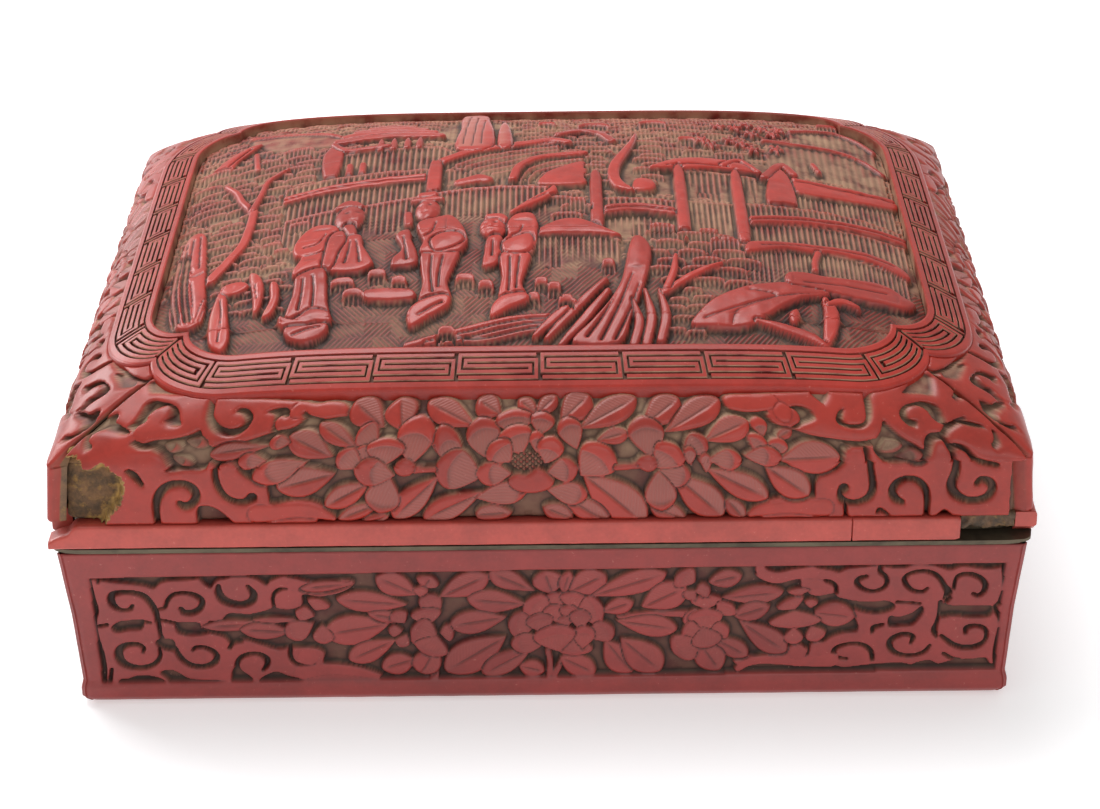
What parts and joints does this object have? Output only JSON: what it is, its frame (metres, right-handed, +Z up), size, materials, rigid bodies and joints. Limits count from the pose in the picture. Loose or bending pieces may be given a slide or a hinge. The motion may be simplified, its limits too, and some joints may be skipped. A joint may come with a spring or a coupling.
{
  "type": "carved lacquer box",
  "caption": "Rectangular red lacquer box with a lift-off domed lid, carved peonies and scrolls on the sides, and a figure landscape in a lobed key-fret frame on top",
  "frame": {"origin": "middle of the flat underside, where the box stands", "axes": "+Z up, front towards -Y, longest side along X"},
  "size_m": [0.254, 0.203, 0.1079],
  "materials": {
    "lacquer_base": "carved red cinnabar lacquer, satin, dusty in the cuts",
    "lacquer_lid": "carved red cinnabar lacquer, satin, dusty in the cuts",
    "lacquer_frame": "polished red cinnabar lacquer with incised key fret",
    "brass_shell": "old brass sheet, brown patina",
    "brass_tray": "old brass sheet, brown patina",
    "brass_rim": "tarnished brass edging",
    "enamel": "blue enamel",
    "underside": "black lacquer, worn"
  },
  "bodies": {
    "base": {"base_panel_front": "lacquer_base", "base_panel_back": "lacquer_base", "base_panel_left": "lacquer_base", "base_panel_right": "lacquer_base", "base_tray": "brass_tray", "base_enamel": "enamel", "base_rim": "brass_rim", "base_underside": "underside"},
    "lid": {"lid_panel_front": "lacquer_lid", "lid_panel_back": "lacquer_lid", "lid_panel_left": "lacquer_lid", "lid_panel_right": "lacquer_lid", "lid_band_front": "lacquer_lid", "lid_band_back": "lacquer_lid", "lid_band_left": "lacquer_lid", "lid_band_right": "lacquer_lid", "lid_fret_frame": "lacquer_frame", "lid_scene_panel": "lacquer_lid", "lid_shell": "brass_shell", "lid_enamel": "enamel", "lid_rim": "brass_rim"}
  },
  "joints": [
    {"name": "lid_lift", "type": "slide", "parent": "base", "child": "lid", "axis": [0, 0, 1], "range_m": [0, 0.16]}
  ]
}
